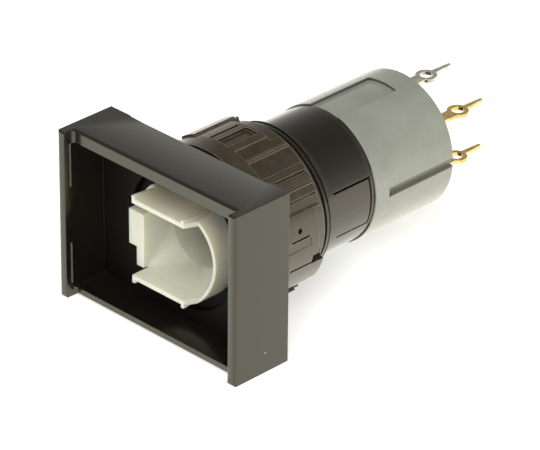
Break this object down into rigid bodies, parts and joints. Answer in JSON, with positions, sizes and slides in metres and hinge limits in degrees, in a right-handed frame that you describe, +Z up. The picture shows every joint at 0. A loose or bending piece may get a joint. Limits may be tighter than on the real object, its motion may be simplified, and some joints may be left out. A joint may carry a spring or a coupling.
{
  "type": "pushbutton switch",
  "caption": "Illuminated panel pushbutton switch with a rectangular bezel, ring nut, lamp holder and snap-action contacts, shown without its lens and lamp.",
  "frame": {"origin": "on the barrel's axis, in the plane where the bezel's back meets the panel's face", "axes": "+Y along the barrel into the panel, +X across the bezel to the right as seen by the user, +Z up"},
  "size_m": [0.024, 0.0418, 0.018],
  "materials": {
    "bezel_black": "glossy black moulding",
    "gasket_rubber": "matt black rubber",
    "nut_plastic": "dark brown-black moulding, satin",
    "carrier_white": "milky white moulding",
    "spring_steel": "drawn spring wire",
    "sleeve_black": "black moulding, semi-gloss",
    "holder_brown": "dark moulding",
    "contact_bronze": "rolled spring bronze",
    "housing_grey": "satin grey moulding",
    "base_black": "black moulding",
    "slider_white": "natural white moulding",
    "lever_copper": "rolled copper alloy",
    "contact_silver": "silver contact metal",
    "terminal_tin": "tin-plated",
    "terminal_gold": "gold-plated"
  },
  "bodies": {
    "housing": {"front_housing": "bezel_black", "panel_gasket": "gasket_rubber", "fixing_nut": "nut_plastic", "return_spring": "spring_steel", "rear_sleeve": "sleeve_black", "lamp_holder": "holder_brown", "lamp_contact_side": "contact_bronze", "lamp_contact_centre": "contact_bronze", "switch_housing": "housing_grey", "terminal_base": "base_black", "slider_spring": "spring_steel", "fixed_contact_make": "contact_silver", "fixed_contact_break": "contact_silver", "snap_spring_make": "spring_steel", "snap_spring_break": "spring_steel", "lamp_terminal_top": "terminal_tin", "lamp_terminal_bottom": "terminal_tin", "make_terminal": "terminal_gold", "make_common_terminal": "terminal_gold", "break_terminal": "terminal_gold", "break_common_terminal": "terminal_gold"},
    "plunger": {"lens_carrier": "carrier_white"},
    "slider": {"switch_slider": "slider_white"},
    "make_lever": {"contact_lever_make": "lever_copper", "moving_contact_make": "contact_silver"},
    "break_lever": {"contact_lever_break": "lever_copper", "moving_contact_break": "contact_silver"}
  },
  "joints": [
    {"name": "button_press", "type": "slide", "parent": "housing", "child": "plunger", "axis": [0, 1, 0], "range_m": [0, 0.003], "stiffness_N_per_m": 550, "springref_m": -0.0001, "deforming": ["return_spring"]},
    {"name": "slider_press", "type": "slide", "parent": "housing", "child": "slider", "axis": [0, 1, 0], "range_m": [0, 0.003], "deforming": ["slider_spring", "snap_spring_make", "snap_spring_break"]},
    {"name": "make_lever_swing", "type": "hinge", "parent": "housing", "child": "make_lever", "pos_m": [0.00435, 0.02212, -0.0019], "axis": [-1, 0, 0], "range_deg": [0, 7]},
    {"name": "break_lever_swing", "type": "hinge", "parent": "housing", "child": "break_lever", "pos_m": [-0.00435, 0.02212, 0.0019], "axis": [1, 0, 0], "range_deg": [0, 7]}
  ],
  "couplings": [
    {"joint": "slider_press", "follows": "button_press", "ratio": 1},
    {"joint": "make_lever_swing", "follows": "button_press", "rad_per_m": 40.724},
    {"joint": "break_lever_swing", "follows": "button_press", "rad_per_m": 40.724}
  ]
}
